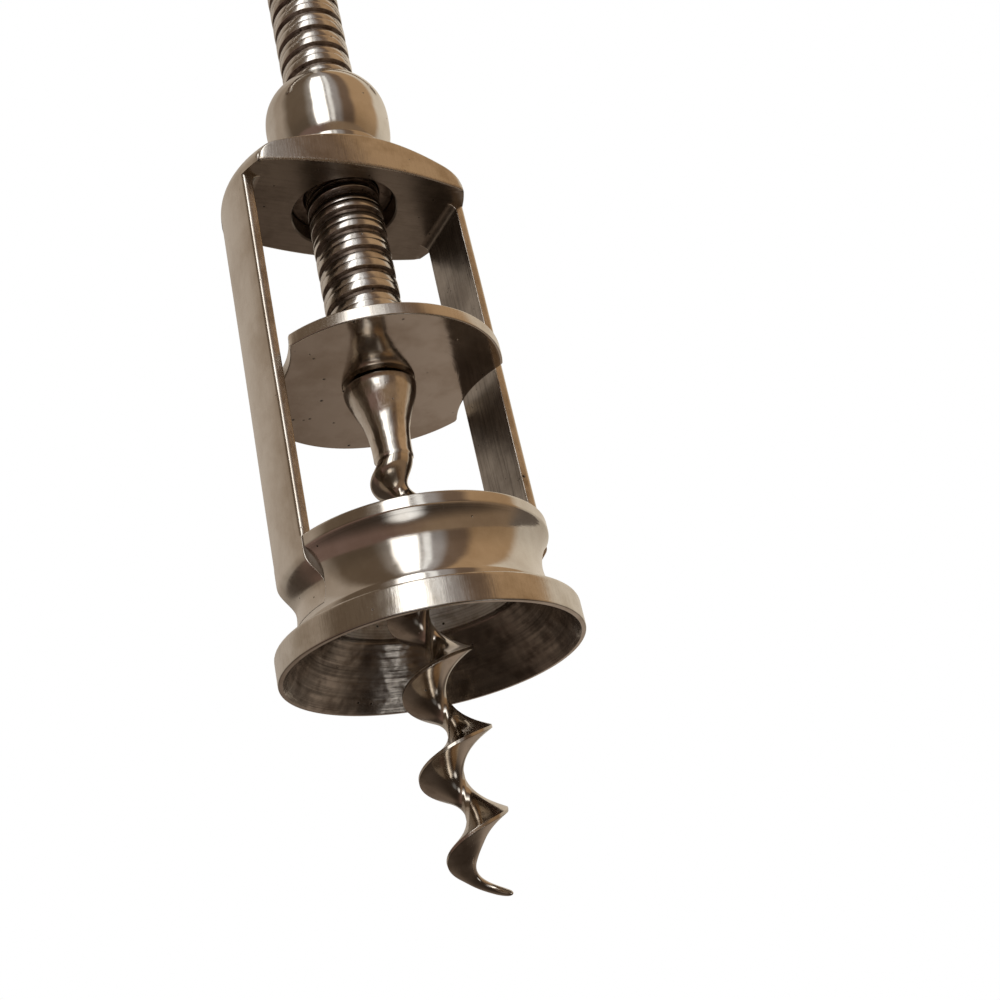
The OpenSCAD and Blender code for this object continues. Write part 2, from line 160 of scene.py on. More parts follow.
# piece with merged doubles, outward normals and its own finishes, one for each face or one
def makePiece(name, points, faces, finishes, body, faceFinish=None):
    mesh = newMesh(name, points, faces, finishes)
    if faceFinish is not None:
        mesh.polygons.foreach_set("material_index", np.asarray(faceFinish, np.int32))
    work = bmesh.new()
    work.from_mesh(mesh)
    bmesh.ops.remove_doubles(work, verts=work.verts, dist=weldGap * mm)
    bmesh.ops.dissolve_degenerate(work, edges=work.edges, dist=weldGap * mm)
    bmesh.ops.recalc_face_normals(work, faces=work.faces)
    work.to_mesh(mesh)
    work.free()
    mesh.shade_smooth()
    mesh.set_sharp_from_angle(angle=math.radians(creaseDeg))
    piece = linkObject(name, mesh)
    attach(piece, body)
    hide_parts(name.replace("Look", ""))
    print("piece:", name, len(mesh.polygons), "faces")


# piece whose surface is one grid, with a finish for each row of faces or one for all
def makeGridPiece(name, points, finishes, body, rowFinish=None, closedRows=False):
    rows, columns = points.shape[:2]
    faceFinish = None if rowFinish is None else np.repeat(rowFinish, columns)
    makePiece(name, points, gridFaces(rows, columns, closedRows), finishes, body, faceFinish)


# finishes

def linear(hexCode):        # sRGB hex to linear colour
    srgb = np.array([int(hexCode[i:i + 2], 16) for i in (1, 3, 5)]) / 255
    curved = ((srgb + 0.055) / 1.055) ** 2.4
    return (*np.where(srgb <= 0.04045, srgb / 12.92, curved).tolist(), 1.0)


def perMm(size):            # scale of a pattern whose cells are so many mm wide
    return 1 / (size * mm)


def emptyTree(owner):       # nodes of a new material or world, cleared
    owner.use_nodes = True
    owner.node_tree.nodes.clear()
    return owner.node_tree


# adds a node: its settings by name, its inputs as values or as sockets to link
def addNode(tree, kind, inputs=None, **settings):
    node = tree.nodes.new(kind)
    for name, value in settings.items():
        setattr(node, name, value)
    for socket, value in (inputs or {}).items():
        if isinstance(value, bpy.types.NodeSocket):
            tree.links.new(value, node.inputs[socket])
        else:
            node.inputs[socket].default_value = value
    return node


def reckon(tree, operation, *values):       # arithmetic on values or sockets
    return addNode(tree, "ShaderNodeMath", dict(enumerate(values)), operation=operation).outputs[0]


def respan(tree, value, fromSpan, toSpan):  # a value taken from one span to another
    spans = {"From Min": fromSpan[0], "From Max": fromSpan[1],
             "To Min": toSpan[0], "To Max": toSpan[1]}
    return addNode(tree, "ShaderNodeMapRange", {"Value": value, **spans}).outputs[0]


def mixTone(tree, share, one, other):       # colour between two colours
    return addNode(tree, "ShaderNodeMix", {0: share, 6: one, 7: other}, data_type="RGBA").outputs[2]


# what metals share unless one says otherwise: spans of noise over which stains, dirt and roughness
# come in, the core and rim of a pit as shares of its cell, and what dirt adds to the roughness
plainMetal = {"dirt": "#2A231E", "stainFrom": 0.44, "stainOver": 0.22, "dirtSpan": (0.3, 0.55),
              "roughSpan": (0.3, 0.7), "pitSpan": (0.12, 0.4), "pitDepth": 0.03, "dirtRough": 0.35}


# metal with a clouded tone, tool marks along one direction, few pits and a slow wave left by
# polishing; sizes in mm
def makeMetal(name, look):
    look = {**plainMetal, **look}
    metal = bpy.data.materials.new(name)
    tree = emptyTree(metal)
    place = addNode(tree, "ShaderNodeTexCoord").outputs["Object"]

    # slow change of tone: clean metal against the browner metal that has been handled
    cloud = addNode(tree, "ShaderNodeTexNoise", {"Vector": place, "Scale": perMm(look["cloudMm"]),
                                                 "Detail": 5.0, "Roughness": 0.6})
    stainSpan = look["stainFrom"], look["stainFrom"] + look["stainOver"]
    stained = respan(tree, cloud.outputs["Fac"], stainSpan, (0.0, 1.0))
    tone = mixTone(tree, stained, linear(look["clean"]), linear(look["stained"]))

    # tool marks: noise drawn out along the tool's direction, or rings where the piece was turned
    grain = {"Detail": 4.0, "Roughness": 0.65}
    if look["marks"] == "turned":
        axes = addNode(tree, "ShaderNodeSeparateXYZ", {0: place}).outputs
        flat = addNode(tree, "ShaderNodeCombineXYZ", {"X": axes["X"], "Y": axes["Y"]})
        away = addNode(tree, "ShaderNodeVectorMath", {0: flat.outputs[0]}, operation="LENGTH")
        along = reckon(tree, "ADD", axes["Z"], away.outputs["Value"])
        rings = {"W": along, "Scale": perMm(look["markMm"]), **grain}
        marks = addNode(tree, "ShaderNodeTexNoise", rings, noise_dimensions="1D").outputs["Fac"]
    else:
        stretch = [perMm(look["markMm"])] * 3
        stretch["xyz".index(look["marks"])] = perMm(look["markLengthMm"])
        drawn = addNode(tree, "ShaderNodeMapping", {"Vector": place, "Scale": stretch})
        strokes = {"Vector": drawn.outputs[0], "Scale": 1.0, **grain}
        marks = addNode(tree, "ShaderNodeTexNoise", strokes).outputs["Fac"]

    # pits: small cells, of which only a share is broken through
    cells = addNode(tree, "ShaderNodeTexVoronoi", {"Vector": place, "Scale": perMm(look["pitMm"]),
                                                   "Randomness": 1.0})
    chance = addNode(tree, "ShaderNodeSeparateColor", {0: cells.outputs["Color"]})
    hit = reckon(tree, "LESS_THAN", chance.outputs[0], look["pitShare"])
    hollow = respan(tree, cells.outputs["Distance"], look["pitSpan"], (1.0, 0.0))
    pits = reckon(tree, "MULTIPLY", hit, hollow)

    # the polisher's slow wave, which bends the mirrored edges
    wave = addNode(tree, "ShaderNodeTexNoise", {"Vector": place, "Scale": perMm(look["waveMm"]),
                                                "Detail": 1.5})

    # dirt darkens the pits and, less, the low side of the tool marks
    low = respan(tree, marks, look["dirtSpan"], (look["markDirt"], 0.0))
    dirt = reckon(tree, "MAXIMUM", pits, low)
    colour = mixTone(tree, dirt, tone, linear(look["dirt"]))

    rough = respan(tree, marks, look["roughSpan"], look["rough"])
    worn = reckon(tree, "MULTIPLY_ADD", dirt, look["dirtRough"], rough)
    height = reckon(tree, "MULTIPLY", marks, look["markHeight"])
    pitted = reckon(tree, "MULTIPLY_ADD", pits, -look["pitDepth"], height)
    waved = reckon(tree, "MULTIPLY_ADD", wave.outputs["Fac"], look["waveHeight"], pitted)
    relief = addNode(tree, "ShaderNodeBump", {"Height": waved, "Strength": 1.0, "Distance": mm})
    shader = addNode(tree, "ShaderNodeBsdfPrincipled", {
        "Base Color": colour, "Metallic": 1.0, "Roughness": worn, "Normal": relief.outputs[0]})
    addNode(tree, "ShaderNodeOutputMaterial", {"Surface": shader.outputs[0]})
    return metal


# nickel plate over brass, buffed: warm white mirror with a faint yellow cloud
buffedNickel = makeMetal("nickelPlateBuffed", {
    "clean": "#DAD5CD", "stained": "#C9C1B6", "dirt": "#3B322B", "cloudMm": 7, "stainFrom": 0.42,
    "marks": "turned", "markMm": 0.35, "markDirt": 0.0, "markHeight": 0.003,
    "rough": (0.09, 0.15), "pitMm": 0.4, "pitShare": 0.002, "pitDepth": 0.02,
    "waveMm": 3, "waveHeight": 0.03})

# the same plate on the flange and the bridge's walls, rubbed in use: fine upright strokes that
# break up the mirror
rubbedNickel = makeMetal("nickelPlateRubbed", {
    "clean": "#D7D1C8", "stained": "#BFB6A9", "dirt": "#3A2F28", "cloudMm": 4,
    "marks": "z", "markMm": 0.22, "markLengthMm": 2.2, "markDirt": 0.1, "markHeight": 0.01,
    "rough": (0.09, 0.2), "pitMm": 0.4, "pitShare": 0.003, "waveMm": 4, "waveHeight": 0.05})

# outer faces of the posts, roof, crossbar and upper side of the disc, polished by the hand: soft
# mirror with long strokes
handledNickel = makeMetal("nickelPlateHandled", {
    "clean": "#D9D2C8", "stained": "#C3B8AA", "dirt": "#43382F", "cloudMm": 8,
    "marks": "z", "markMm": 0.3, "markLengthMm": 9, "markDirt": 0.06, "markHeight": 0.008,
    "rough": (0.15, 0.26), "pitMm": 0.35, "pitShare": 0.002, "pitDepth": 0.02,
    "waveMm": 6, "waveHeight": 0.06})

# filed walls and edges that took the plate badly: grainy, with dark chips
chippedNickel = makeMetal("nickelPlateChipped", {
    "clean": "#D0C8BD", "stained": "#ADA294", "dirt": "#332A23", "cloudMm": 4,
    "marks": "z", "markMm": 0.3, "markLengthMm": 1.0, "markDirt": 0.2, "markHeight": 0.03,
    "rough": (0.16, 0.32), "pitMm": 0.7, "pitShare": 0.05, "pitDepth": 0.04,
    "waveMm": 2.5, "waveHeight": 0.06})

# underside of the bridge, its hole and the posts' corners under it, left from the file; the
# grey-brown colour is painted shade under the bridge
underShadeNickel = makeMetal("nickelPlateUnderShade", {
    "clean": "#938A80", "stained": "#7E756B", "dirt": "#2A221C", "cloudMm": 6, "stainFrom": 0.42,
    "marks": "x", "markMm": 0.4, "markLengthMm": 4, "markDirt": 0.2, "markHeight": 0.012,
    "rough": (0.2, 0.36), "pitMm": 0.5, "pitShare": 0.01, "waveMm": 3, "waveHeight": 0.05})

# inner faces of the posts, drawn and hardly polished, with long upright streaks; their dark tone
# is painted shade between the posts, also laid on the walls of the feet
streakedShadeNickel = makeMetal("nickelPlateStreakedShade", {
    "clean": "#A69E95", "stained": "#857C73", "dirt": "#251D18", "cloudMm": 6, "stainFrom": 0.42,
    "marks": "z", "markMm": 0.45, "markLengthMm": 9, "markDirt": 0.5, "markHeight": 0.03,
    "rough": (0.18, 0.38), "pitMm": 0.5, "pitShare": 0.02, "waveMm": 3, "waveHeight": 0.06})

# throat of the bell, dulled by corks: pale and rough, with fine rings
throatNickel = makeMetal("nickelPlateDull", {
    "clean": "#DAD5CE", "stained": "#B5ACA2", "cloudMm": 2.5,
    "marks": "turned", "markMm": 0.3, "markDirt": 0.3, "markHeight": 0.03,
    "rough": (0.3, 0.5), "pitMm": 0.6, "pitShare": 0.01, "waveMm": 2, "waveHeight": 0.1})

# tapered seat inside the bell: turned rings, scored by glass, that catch the light in streaks; its
# tone, darker than the outside's, is painted shade inside the bell
scoredShadeNickel = makeMetal("nickelPlateScoredShade", {
    "clean": "#B8B0A6", "stained": "#8A8076", "dirt": "#1F1915", "cloudMm": 2.4,
    "marks": "turned", "markMm": 0.35, "markDirt": 0.45, "markHeight": 0.05,
    "rough": (0.1, 0.24), "pitMm": 0.6, "pitShare": 0.01, "waveMm": 2.5, "waveHeight": 0.17})

# flat disc, faced and polished on its underside: a clear mirror with a few black pits
facedNickel = makeMetal("nickelPlateFaced", {
    "clean": "#CEC6BC", "stained": "#BAAFA2", "dirt": "#1C1714", "cloudMm": 6,
    "marks": "turned", "markMm": 0.5, "markDirt": 0.0, "markHeight": 0.003,
    "rough": (0.07, 0.15), "pitMm": 0.7, "pitShare": 0.03, "waveMm": 5, "waveHeight": 0.08})

# bright steel of the thread's crests, rubbed by the nut: clear highlights with fine rings
crestSteel = makeMetal("steelTurned", {
    "clean": "#DFDBD5", "stained": "#C2BAB1", "dirt": "#352C26", "cloudMm": 2.5, "stainFrom": 0.42,
    "marks": "turned", "markMm": 0.25, "markDirt": 0.1, "markHeight": 0.006,
    "rough": (0.12, 0.22), "pitMm": 0.4, "pitShare": 0.01, "waveMm": 1.5, "waveHeight": 0.04})

# floor of the thread and bore of the nut: brown and half dull, the brown being painted shade in the
# grooves and the bore
grooveSteel = makeMetal("steelGrooveShade", {
    "clean": "#9A8D82", "stained": "#6E6157", "cloudMm": 1.2, "stainFrom": 0.40,
    "marks": "turned", "markMm": 0.3, "markDirt": 0.3, "markHeight": 0.02,
    "rough": (0.32, 0.5), "pitMm": 0.5, "pitShare": 0.05, "waveMm": 1.5, "waveHeight": 0.03})

# forged worm, polished on its blade and darkened by cork: clear, dark mirror with bright edges
wormSteel = makeMetal("steelForgedPolished", {
    "clean": "#CBC2B6", "stained": "#A59A8D", "cloudMm": 3,
    "marks": "z", "markMm": 1.2, "markLengthMm": 3.0, "markDirt": 0.06, "markHeight": 0.004,
    "rough": (0.1, 0.17), "pitMm": 0.4, "pitShare": 0.004, "waveMm": 2, "waveHeight": 0.02})

# the same forging at its shank, scratched where it is turned by hand: wide, streaky highlight
shankSteel = makeMetal("steelForgedScratched", {
    "clean": "#E0D9D0", "stained": "#C6BCAF", "cloudMm": 3,
    "marks": "z", "markMm": 0.3, "markLengthMm": 2.0, "markDirt": 0.1, "markHeight": 0.012,
    "rough": (0.09, 0.22), "pitMm": 0.4, "pitShare": 0.01, "waveMm": 2.5, "waveHeight": 0.1})
print("finishes:", len(bpy.data.materials))


# bell: flange, step, hollow and rim outside, tapered seat and throat inside, with a slot for each
# post; the posts' sizes stand here as well, because the slots follow them

bellForm = {"mouthR": 17.2, "throatR": 11.8, "seatH": 7.5, "flangeH": 3.4, "stepR": 15.25,
            "stepH": 1.5, "rimR": 16.15, "bandH": 1.75, "browIn": 0.2, "browH": 0.3,
            "hollowR": 6.5, "lipSoft": 0.22, "flangeSoft": 0.45, "stepSoft": (0.2, 0.12),
            "browSoft": 0.18, "rimSoft": 0.3, "throatSoft": 0.35, "throatEdge": 0.3,
            "seatRipple": 0.012, "ripples": 11, "rubbedEdge": 0.1, "throatRows": 4,
            "hollowRows": 30, "seatRows": 40, "slotColumns": 9, "openColumns": 64}
postForm = {"inner": 14.4, "footIn": 13.5, "halfW": 4.75, "toeZ": {-1: 8.0, 1: 10.4},
            "toeH": {-1: 3.6, 1: 2.8}, "proud": 0.02, "cornerR": 1.2, "cornerFrom": 0.2,
            "cornerFull": 0.9999, "outerSoft": 0.42, "innerSoft": 0.15, "toeSoft": 0.15,
            "outerShare": 0.4, "innerShare": 0.2, "wave": 0.05, "waveL": 7.3, "waveEdge": 0.01,
            "footRows": 30, "middleRows": 44, "cornerRows": 8, "acrossPoints": 21}

bellLow, bellHigh = nodeSpan("bell")
postLow, postHigh = nodeSpan("post_right")
bridgeLow, bridgeHigh = nodeSpan("bridge")
frameR = bridgeHigh[0]      # turned radius that posts and bridge share
stepTop = bellForm["flangeH"] + bellForm["stepH"]

# hollow: the arc through the step's top and the brow under the rim; its middle lies outside
browR, browZ = bellForm["rimR"] - bellForm["browIn"], bellHigh[2] - bellForm["bandH"]
chord = np.array([browR - bellForm["stepR"], browZ - stepTop])
chordHalf = np.linalg.norm(chord) / 2
outward = math.sqrt(bellForm["hollowR"] ** 2 - chordHalf ** 2) / (2 * chordHalf)
chordMid = np.array([bellForm["stepR"] + browR, stepTop + browZ]) / 2
hollowMid = chordMid + outward * np.array([chord[1], -chord[0]])


def hollowAt(z):            # radius of the hollow at a height, mm
    return hollowMid[0] - circleAt(bellForm["hollowR"], z - hollowMid[1])


# closed section: corners of the outside with the hollow, corners of the bore and a faintly
# rippled seat; round it run the lines of the two slots, at y = +-halfW, so that the slots' walls
# fall on grid lines, and inside a slot no point above its floor lies further out than a post's foot
def bellSurface(form, post):
    low, high, flangeR = bellLow[2], bellHigh[2], bellHigh[0]
    hollowZ = np.linspace(stepTop, browZ, form["hollowRows"])[1:]
    outside = softOutline([
        (form["mouthR"], low, 0), (flangeR, low, form["lipSoft"]),
        (flangeR, form["flangeH"], form["flangeSoft"]),
        (form["stepR"], form["flangeH"], form["stepSoft"][0]),
        (form["stepR"], stepTop, form["stepSoft"][1]), *bareCorners(hollowAt(hollowZ), hollowZ),
        (form["rimR"], browZ + form["browH"], form["browSoft"]),
        (form["rimR"], high, form["rimSoft"]), (form["throatR"], high, form["throatSoft"])])
    t = np.linspace(0, 1, form["seatRows"])
    taper = form["throatR"] + (form["mouthR"] - form["throatR"]) * t
    ripple = form["seatRipple"] * np.sin(2 * np.pi * form["ripples"] * t)
    seat = np.stack([taper + ripple, form["seatH"] * (1 - t)], -1)
    throatEnd = [[form["throatR"], form["seatH"] + form["throatEdge"]]]
    section = np.vstack([outside, throatEnd, seat[1:-1]])
    r, z = section[:, :1], section[:, 1:]
    reach = np.arcsin(post["halfW"] / r)
    slot = np.linspace(-1, 1, form["slotColumns"])
    free = np.linspace(0, 1, form["openColumns"])
    beside = (np.pi - 2 * reach) * free
    angle = np.hstack([reach * slot, reach + beside, np.pi + reach * slot, np.pi + reach + beside])
    points = setRound(r, z, angle)
    x = points[..., 0]
    inSlot = np.tile(np.repeat([True, False], [len(slot), len(free)]), 2)
    cut = inSlot & (z > postLow[2])
    x[cut] = np.clip(x[cut], -post["footIn"], post["footIn"])
    # finish of each row of faces: flange, outside above it, throat's upper edge, seat in painted
    # shade
    kind = np.where(z[:, 0] > form["flangeH"] - form["rubbedEdge"], 1, 0)
    kind[len(outside) - form["throatRows"]:] = 2
    kind[len(outside):] = 3
    return points, kind


points, kind = bellSurface(bellForm, postForm)
makeGridPiece("bellLook", points, [rubbedNickel, buffedNickel, throatNickel, scoredShadeNickel],
              "frame", kind, closedRows=True)


# posts: a section carried up the post; its outer side lies on the turned radius, which eases into
# the bell's hollow at the toe, higher up on the right post, and its inner side is deeper in the
# bell's slot and flares into the bridge over a small corner

def postSurface(form, side):
    rim, top, corner, half = bellHigh[2], postHigh[2], form["cornerR"], form["halfW"]
    turnUp = np.sin(np.linspace(form["cornerFrom"], np.pi / 2, form["cornerRows"]))
    z = np.r_[np.linspace(postLow[2], rim, form["footRows"]),
              np.linspace(rim, top - corner, form["middleRows"]),
              top - corner * (1 - turnUp)][:, None]
    bell = hollowAt(np.minimum(z, browZ)) + form["proud"]
    turned = bell + (frameR - bell) * ease((z - form["toeZ"][side]) / form["toeH"][side])
    rise = np.clip((z - top + corner) / corner, 0, form["cornerFull"])
    inner = form["inner"] - corner * (1 - circleAt(1, rise))
    inner[:form["footRows"]] = form["footIn"]

    def outX(y):            # outer side at a distance from the post's middle plane
        return circleAt(turned, y)

    def bend(*three):       # rounded edge, as a row of points at each height
        return roundedCorner(*three)[..., 0].T

    # edges are rounded less in the foot, where the post hardly stands out of the bell
    wall = outX(half)
    thick = np.abs(wall - inner)
    shown = np.where(z < rim, form["toeSoft"] * (turned - bell) + form["proud"] / 2,
                     form["outerSoft"])
    soft = np.minimum(np.minimum(form["outerSoft"], shown), form["outerShare"] * thick)
    neat = np.minimum(form["innerSoft"], form["innerShare"] * thick)
    across = np.linspace(-1, 1, form["acrossPoints"])
    reach = (half - faceFlat * soft) * across
    outerEdge = bend(outX(half - soft), wall, wall - soft)
    wallOut, wallIn = wall - faceFlat * soft, inner + faceFlat * neat
    x = np.hstack([outerEdge[:, ::-1], outX(reach), outerEdge, wallOut, wallIn,
                   bend(inner + neat, inner, inner), inner + 0 * reach,
                   bend(inner, inner, inner + neat), wallIn, wallOut])
    flat = half + 0 * z
    edge, back = bend(half - soft, flat, flat), bend(flat, flat, half - neat)
    y = np.hstack([-edge[:, ::-1], reach, edge, flat, flat, back,
                   -(half - faceFlat * neat) * across, -back[:, ::-1], -flat, -flat])
    # the filed flats aren't quite true: a slow wave along the front and back edges
    wave = form["wave"] / half * np.sin(z / form["waveL"] + side)
    y = y * (1 + wave * (np.abs(y) > half - soft - form["waveEdge"]))
    points = np.stack([side * x, y, z + 0 * x], -1)
    # finish of each face: outer side, walls, inner side in painted shade, corner under the bridge
    # in deeper painted shade; in the foot the walls are finished like the inner side, painted shade
    # and all
    edgeCount, flatCount = edge.shape[1], len(across)
    kind = np.repeat([0, 1, 2, 1], [2 * edgeCount + flatCount - 1, edgeCount + 2,
                                    flatCount + 1, edgeCount + 2])
    kind = np.tile(kind, (len(z) - 1, 1))
    footKind, cornerKind = kind[:form["footRows"] - 1], kind[-form["cornerRows"]:]
    footKind[footKind == 1] = 2
    cornerKind[cornerKind == 2] = 3
    return points, kind.ravel()


for side, node in ((-1, "post_left"), (1, "post_right")):
    points, kind = postSurface(postForm, side)
    rows, columns = points.shape[:2]
    ends = [np.arange(columns), np.arange((rows - 1) * columns, rows * columns)]
    makePiece(node + "Look", points, [*gridFaces(rows, columns), *ends],
              [handledNickel, chippedNickel, streakedShadeNickel, underShadeNickel],
              "frame", np.r_[kind, 1, 1])


# bridge: in each direction round the axis its section runs from the hole along the underside to
# the limit of the plan, up the wall, and back over the round shoulder and the sloping roof; the
# plan is a lens of two large arcs whose ends are the turned radius

bridgeForm = {"holeR": 7, "flatR": 7.6, "shoulderR": 3, "roofDeg": 22, "midHalf": 9.7,
              "endHalf": 7.35, "planSoft": 0.5, "wallSoft": 0.35, "wallShare": 0.45, "lip": 0.2,
              "roofFlat": 1.2, "crowding": 1.3, "underRows": 9, "roofRows": 40, "columns": 288}


def bridgeSurface(form):
    bottom, top = bridgeLow[2], bridgeHigh[2]
    slope, shoulderR = math.radians(form["roofDeg"]), form["shoulderR"]
    shoulderIn = frameR - shoulderR
    shoulderZ = (top - (shoulderIn - form["flatR"]) * math.tan(slope)
                 - shoulderR / math.cos(slope))
    sag = form["midHalf"] - form["endHalf"]
    bow = (frameR ** 2 + sag ** 2) / (2 * sag)
    angle = fullTurn(form["columns"])
    s = np.abs(np.sin(angle))
    c = bow - form["midHalf"]
    lens = -c * s + np.sqrt(c ** 2 * s ** 2 + bow ** 2 - c ** 2)
    limit = softMin(frameR, lens, form["planSoft"])
    # roof height at a radius: round shoulder outside, straight slope inside, flat under the nut
    tangent = shoulderIn + shoulderR * math.sin(slope)

    def roofAt(r):
        arc = shoulderZ + circleAt(shoulderR, np.maximum(r - shoulderIn, 0))
        straight = top - np.maximum(r - form["flatR"], 0) * math.tan(slope)
        return np.where(r > tangent, np.where(r >= frameR - weldGap, bottom, arc), straight)

    # along the roof the rows lie close together where the shoulder turns down
    share = np.linspace(0, 1, form["roofRows"])[:, None]
    fall = np.sin(share * np.pi / 2) ** form["crowding"]
    roofR = limit + (form["holeR"] - limit) * (1 - circleAt(1, fall))
    wallTop = roofAt(roofR)[0]
    soft = np.minimum(form["wallSoft"], form["wallShare"] * (wallTop - bottom))
    foot = roundedCorner(sectionPoint(limit - soft, bottom), sectionPoint(limit, bottom),
                         sectionPoint(limit, bottom + soft))
    brow = roundedCorner(sectionPoint(limit, wallTop - soft), sectionPoint(limit, wallTop),
                         sectionPoint(limit - soft, roofAt(limit - soft)))
    lip = sectionPoint(form["holeR"] + 0 * limit, bottom + form["lip"])[None]
    lipR = form["holeR"] + form["lip"]
    under = np.linspace(0, 1, form["underRows"])[:, None]
    under = sectionPoint(lipR + (limit - faceFlat * soft - lipR) * under, bottom)
    roofR = np.where(roofR < limit - form["roofFlat"] * soft, roofR, limit - soft)[1:]
    roof = sectionPoint(roofR, roofAt(roofR))
    section = np.concatenate([lip, under, foot, brow, roof])
    # finish of each row of faces: underside in painted shade, wall's lower edge, wall, roof, hole
    # in painted shade
    kind = np.repeat([1, 2, 3, 0, 1],
                     [len(lip) + len(under), len(foot) - 1, len(brow), len(roof), 1])
    return setRound(section[..., 0], section[..., 1], angle), kind


points, kind = bridgeSurface(bridgeForm)
makeGridPiece("bridgeLook", points, [handledNickel, underShadeNickel, chippedNickel, rubbedNickel],
              "frame", kind, closedRows=True)


# ball nut: turned ball on a collar, with its bore bevelled at the top; at each height the ball is
# as wide as the wider of its belly, a circle about the axis, and its rounded side, a smaller
# circle off the axis

nutForm = {"boreR": 5.1, "spigotR": 6.98, "spigotSoft": 0.2, "collarH": 2.0,
           "collarSoft": (0.1, 0.3), "bellyR": 8.4, "bellyRise": 7.3, "round": 5.5, "rise": 9.5,
           "blend": 0.6, "ballFrom": 0.05, "ballTo": 0.3, "ballRows": 56, "lipW": 0.5,
           "lipSoft": 0.12, "bevelW": 0.15, "bevelH": 0.5, "bevelSoft": 0.1,
           "spigotEdge": 0.1, "boreEdge": 0.05}


def nutSurface(form):
    low, high = nodeSpan("ball_nut")
    bottom, seat, top = low[2], bridgeHigh[2], high[2]
    bore, spigot, collar = form["boreR"], form["spigotR"], bridgeForm["flatR"]
    collarTop = seat + form["collarH"]
    ballIn, ballZ = high[0] - form["round"], seat + form["rise"]
    z = np.linspace(collarTop + form["ballFrom"], top - form["ballTo"], form["ballRows"])
    belly = circleAt(form["bellyR"], z - seat - form["bellyRise"])
    ballSide = ballIn + circleAt(form["round"], z - ballZ)
    ball = -softMin(-belly, -ballSide, form["blend"])
    outline = softOutline([
        (bore, bottom, form["spigotSoft"]), (spigot, bottom, form["spigotSoft"]),
        (spigot, seat, 0), (collar, seat, form["collarSoft"][0]),
        (collar, collarTop, form["collarSoft"][1]), *bareCorners(ball, z),
        (bore + form["lipW"] + form["bevelW"], top, form["lipSoft"]),
        (bore + form["bevelW"], top, form["lipSoft"]),
        (bore, top - form["bevelH"], form["bevelSoft"])])
    # finish of each row of faces: outside, or spigot and bore in painted shade
    hidden = outline[:, 1] < seat - form["spigotEdge"]
    hidden |= outline[:, 0] < bore + form["boreEdge"]
    return revolve(outline), hidden.astype(int)


points, kind = nutSurface(nutForm)
makeGridPiece("ball_nutLook", points, [buffedNickel, grooveSteel], "frame", kind,
              closedRows=True)


# guide plate: thin disc whose edge follows the disc's radius, or the scallop beside a post where
# that is nearer

plateForm = {"boreR": 2.6, "boreSoft": 0.1, "scallopR": 16.6, "scallopX": 29.25,
             "cornerSoft": 0.35, "edgeSoft": 0.22, "flatRows": 10, "columns": 240}


def plateSurface(form):
    low, high = nodeSpan("guide_plate")
    bottom, top, soft, bevel = low[2], high[2], form["edgeSoft"], form["boreSoft"]
    angle = fullTurn(form["columns"])
    c = form["scallopX"] * np.abs(np.cos(angle))
    inside = c ** 2 - form["scallopX"] ** 2 + form["scallopR"] ** 2
    scallop = np.where(inside > 0, c - np.sqrt(np.maximum(inside, 0)), np.inf)
    rim = softMin(high[1], scallop, form["cornerSoft"])
    boreEdge = form["boreR"] + bevel
    share = np.linspace(0, 1, form["flatRows"])[:, None]
    flatR = boreEdge + (rim - faceFlat * soft - boreEdge) * share
    lower, upper = sectionPoint(flatR, bottom), sectionPoint(flatR[::-1], top)
    foot = roundedCorner(sectionPoint(rim - soft, bottom), sectionPoint(rim, bottom),
                         sectionPoint(rim, bottom + soft))
    brow = roundedCorner(sectionPoint(rim, top - soft), sectionPoint(rim, top),
                         sectionPoint(rim - soft, top))
    boreZ = np.array([[top - bevel], [bottom + bevel]])
    bore = sectionPoint(form["boreR"] + 0 * rim, boreZ)
    section = np.concatenate([lower, foot, brow, upper, bore])
    # finish of each row of faces: underside, or edge, upper side and bore
    kind = np.repeat([0, 1], [len(lower), len(section) - len(lower)])
    return setRound(section[..., 0], section[..., 1], angle), kind


points, kind = plateSurface(plateForm)
makeGridPiece("guide_plateLook", points, [facedNickel, handledNickel], "guide",
              kind, closedRows=True)


# spindle: a sheared grid, so that each row climbs one pitch a turn and the grooves run along the
# rows; rows beyond either end are laid on the end itself

hubZ = nodeSpan("handle_hub")[0][2]
threadForm = {"pitch": 3.2, "depth": 0.6, "floorW": 0.5, "sideW": 0.26, "edgeSoft": 0.08,
              "rootSoft": 0.03, "floorSoft": 0.06, "crestRidge": 0.03, "ridgeHalf": 0.03,
              "ridgeDip": 0.02, "start": 0.7, "phaseDeg": 273, "spareTurns": 3, "boreR": 2.52,
              "tenonR": 3.5, "endSoft": 0.25, "columns": 96}


